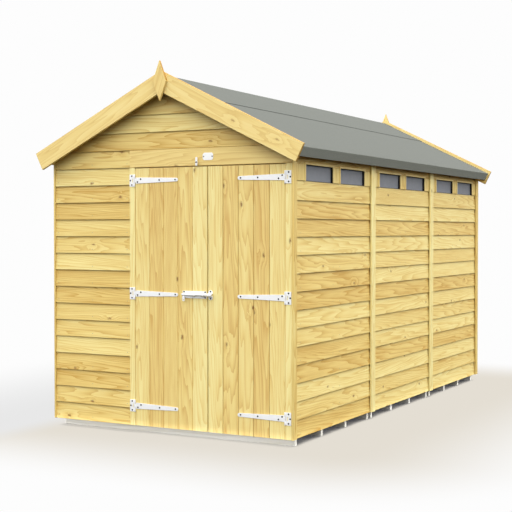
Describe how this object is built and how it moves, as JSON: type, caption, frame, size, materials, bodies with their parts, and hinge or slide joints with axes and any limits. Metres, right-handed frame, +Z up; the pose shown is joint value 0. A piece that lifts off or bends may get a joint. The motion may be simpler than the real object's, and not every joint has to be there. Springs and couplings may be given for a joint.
{
  "type": "wooden garden shed",
  "caption": "Apex garden shed of lapped pine boards with braced double doors, strap hinges, a pad bolt, high side windows and a felted roof with barge boards.",
  "frame": {"origin": "middle of the footprint on the ground, under the bearers", "axes": "+Z up, the door gable faces -Y, +X to the right seen from the doors"},
  "size_m": [2.0194, 3.8446, 2.407],
  "materials": {
    "pine_boards": "satin",
    "pine_trim": "satin",
    "pine_framing": "matte",
    "bearer_timber": "matte",
    "roof_felt": "matte",
    "window_glass": "gloss",
    "zinc_hardware": "satin"
  },
  "bodies": {
    "shed": {"floor_bearers": "bearer_timber", "floor_front": "pine_framing", "floor_middle": "pine_framing", "floor_back": "pine_framing", "front_frame": "pine_framing", "back_frame": "pine_framing", "left_frame": "pine_framing", "right_frame": "pine_framing", "right_cladding": "pine_boards", "left_cladding": "pine_boards", "back_cladding": "pine_boards", "front_left_cladding": "pine_boards", "front_gable_cladding": "pine_boards", "window_posts": "pine_boards", "window_heads": "pine_boards", "window_glass": "window_glass", "door_lintel": "pine_trim", "door_jambs": "pine_trim", "corner_strips": "pine_trim", "cover_strips": "pine_trim", "roof_deck_left": "pine_framing", "roof_deck_right": "pine_framing", "roof_bars_left": "pine_framing", "roof_bars_right": "pine_framing", "felt_left": "roof_felt", "felt_right": "roof_felt", "felt_ridge": "roof_felt", "front_barge_left": "pine_trim", "front_barge_right": "pine_trim", "back_barge_left": "pine_trim", "back_barge_right": "pine_trim", "front_finial": "pine_trim", "back_finial": "pine_trim", "left_hinge_plates": "zinc_hardware", "right_hinge_plates": "zinc_hardware"},
    "left_door": {"left_door_boards": "pine_boards", "left_door_bracing": "pine_framing", "left_hinge_straps": "zinc_hardware", "bolt_plate": "zinc_hardware"},
    "right_door": {"right_door_boards": "pine_boards", "right_door_bracing": "pine_framing", "right_hinge_straps": "zinc_hardware", "bolt_keep": "zinc_hardware"},
    "bolt": {"bolt_bar": "zinc_hardware"},
    "turn_button": {"turn_button": "zinc_hardware"}
  },
  "joints": [
    {"name": "left_door_hinge", "type": "hinge", "parent": "shed", "child": "left_door", "pos_m": [-0.2475, -1.8391, 0.9165], "axis": [0, 0, -1], "range_deg": [0, 170]},
    {"name": "right_door_hinge", "type": "hinge", "parent": "shed", "child": "right_door", "pos_m": [0.8535, -1.8391, 0.9165], "axis": [0, 0, 1], "range_deg": [0, 170]},
    {"name": "bolt_slide", "type": "slide", "parent": "left_door", "child": "bolt", "axis": [1, 0, 0], "range_m": [0, 0.034]},
    {"name": "turn_button_pivot", "type": "hinge", "parent": "shed", "child": "turn_button", "pos_m": [0.229, -1.8403, 1.7585], "axis": [0, 1, 0], "range_deg": [0, 180]}
  ]
}
